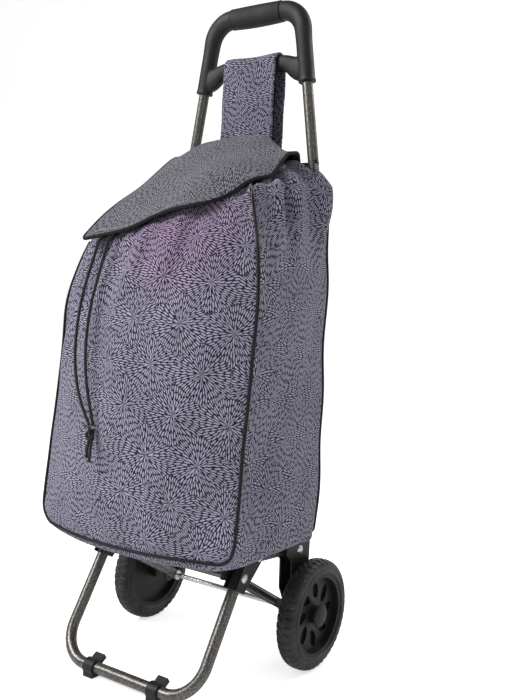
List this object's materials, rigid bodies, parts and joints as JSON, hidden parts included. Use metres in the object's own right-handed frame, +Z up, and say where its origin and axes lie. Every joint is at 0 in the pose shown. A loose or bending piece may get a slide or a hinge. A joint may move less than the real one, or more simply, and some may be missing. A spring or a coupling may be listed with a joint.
{
  "type": "shopping trolley",
  "caption": "Two-wheeled shopping trolley: folding tubular frame with fold-up stand, D-shaped handle, tall soft bag with drawcord mouth, carrying strap and flap lid.",
  "frame": {"origin": "centre of the bounding box's base, on the floor, without the drawcord", "axes": "+Z up, the bag's front faces -Y, +X to the right of someone who faces the bag"},
  "size_m": [0.362, 0.3742, 0.982],
  "materials": {
    "tyre": "matte foamed rubber",
    "wheel_plastic": "satin moulded",
    "zinc": "bright zinc plated",
    "black_steel": "black paint, satin",
    "hammered_steel": "grey-brown hammered paint",
    "handle_plastic": "fine grained",
    "foot_plastic": "moulded",
    "board": "plain sheet",
    "lining": "woven",
    "cord": "braided",
    "printed_cloth": "woven, printed with radiating dashes"
  },
  "bodies": {
    "frame": {"axle": "zinc", "axle_washers": "foot_plastic", "axle_clips": "zinc", "rear_bracket_left": "black_steel", "rear_bracket_right": "black_steel", "tube_left": "hammered_steel", "tube_right": "hammered_steel", "frame_rivets": "zinc", "handle": "handle_plastic", "grip_sleeve": "handle_plastic", "bag_front": "printed_cloth", "bag_back": "printed_cloth", "bag_side_left": "printed_cloth", "bag_side_right": "printed_cloth", "tube_sleeve": "printed_cloth", "strap": "printed_cloth", "mouth_hem": "printed_cloth", "drawcord_left": "cord", "drawcord_right": "cord", "cord_knot": "cord"},
    "platform": {"rail_left": "hammered_steel", "rail_right": "hammered_steel", "platform_rivets": "zinc", "base_board": "board", "bag_floor": "printed_cloth"},
    "stand": {"front_bracket_left": "black_steel", "front_bracket_right": "black_steel", "stand_tube": "hammered_steel", "stand_cross_bar": "hammered_steel", "stand_rivets": "zinc", "foot_left": "foot_plastic", "foot_right": "foot_plastic"},
    "braces": {"brace_left": "hammered_steel", "brace_right": "hammered_steel", "brace_rivets": "zinc"},
    "wheel_left": {"tyre_left": "tyre", "hub_left": "wheel_plastic", "hub_cap_left": "wheel_plastic"},
    "wheel_right": {"tyre_right": "tyre", "hub_right": "wheel_plastic", "hub_cap_right": "wheel_plastic"},
    "lid": {"lid": "printed_cloth", "lid_stiffener": "lining"}
  },
  "joints": [
    {"name": "frame_fold", "type": "hinge", "parent": "frame", "child": "platform", "pos_m": [0, 0.0852, 0.174], "axis": [-1, 0, 0], "range_deg": [0, 75], "deforming": ["bag_front", "bag_back", "bag_side_left", "bag_side_right", "bag_floor"]},
    {"name": "stand_fold", "type": "hinge", "parent": "platform", "child": "stand", "pos_m": [0, -0.0077, 0.18], "axis": [1, 0, 0], "range_deg": [0, 99]},
    {"name": "brace_swing", "type": "hinge", "parent": "frame", "child": "braces", "pos_m": [0, 0.101, 0.08], "axis": [-1, 0, 0], "range_deg": [0, 42]},
    {"name": "wheel_left_spin", "type": "hinge", "parent": "frame", "child": "wheel_left", "pos_m": [-0.157, 0.101, 0.08], "axis": [1, 0, 0], "continuous": true},
    {"name": "wheel_right_spin", "type": "hinge", "parent": "frame", "child": "wheel_right", "pos_m": [0.157, 0.101, 0.08], "axis": [1, 0, 0], "continuous": true},
    {"name": "lid_lift", "type": "hinge", "parent": "frame", "child": "lid", "pos_m": [0, 0.083, 0.7521], "axis": [-1, 0, 0], "range_deg": [0, 110]}
  ],
  "couplings": [
    {"joint": "stand_fold", "follows": "frame_fold", "ratio": 1.3067},
    {"joint": "brace_swing", "follows": "frame_fold", "ratio": 0.5427}
  ]
}
